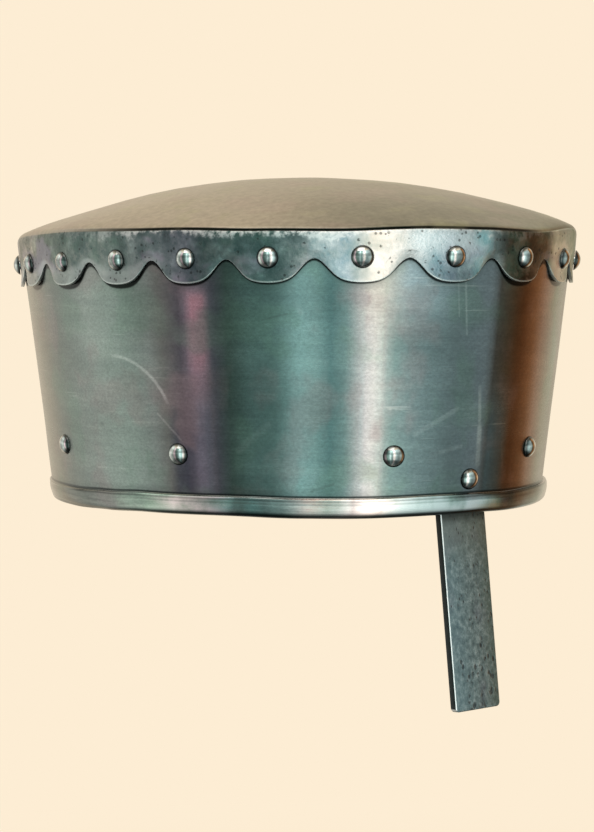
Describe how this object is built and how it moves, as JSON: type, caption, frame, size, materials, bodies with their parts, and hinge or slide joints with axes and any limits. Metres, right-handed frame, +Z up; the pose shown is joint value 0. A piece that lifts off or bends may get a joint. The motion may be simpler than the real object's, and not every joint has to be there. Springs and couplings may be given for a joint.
{
  "type": "nasal helmet",
  "caption": "Flat-topped steel helmet: an oval band widening upward, a domed crown plate riveted on by a scalloped flange, a straight nasal bar and a laced leather liner.",
  "frame": {"origin": "Centre of the head opening, level with the lowest edge of the rim", "axes": "+Z up through the crown, -Y the front, where the nasal bar is, X across the head; the head comes in from -Z"},
  "size_m": [0.235, 0.2744, 0.216],
  "materials": {
    "band_steel": "horizontally brushed, scratched",
    "crown_steel": "satin, planished, mottled on the flange",
    "rivet_steel": "polished",
    "nasal_steel": "blue-grey, mottled and pitted",
    "liner_leather": "oiled, matt inside",
    "lace_leather": "plain"
  },
  "bodies": {
    "root": {"skull_band": "band_steel", "crown_plate": "crown_steel", "crown_rivets": "rivet_steel", "nasal_bar": "nasal_steel", "nasal_rivet": "rivet_steel", "nasal_flush_rivet": "rivet_steel", "liner_headband": "liner_leather", "liner_rivets": "rivet_steel", "liner_washers": "rivet_steel", "liner_tongue_1": "liner_leather", "liner_tongue_2": "liner_leather", "liner_tongue_3": "liner_leather", "liner_tongue_4": "liner_leather", "liner_tongue_5": "liner_leather", "liner_tongue_6": "liner_leather", "liner_tongue_7": "liner_leather", "liner_tongue_8": "liner_leather", "liner_lace": "lace_leather"}
  },
  "joints": []
}
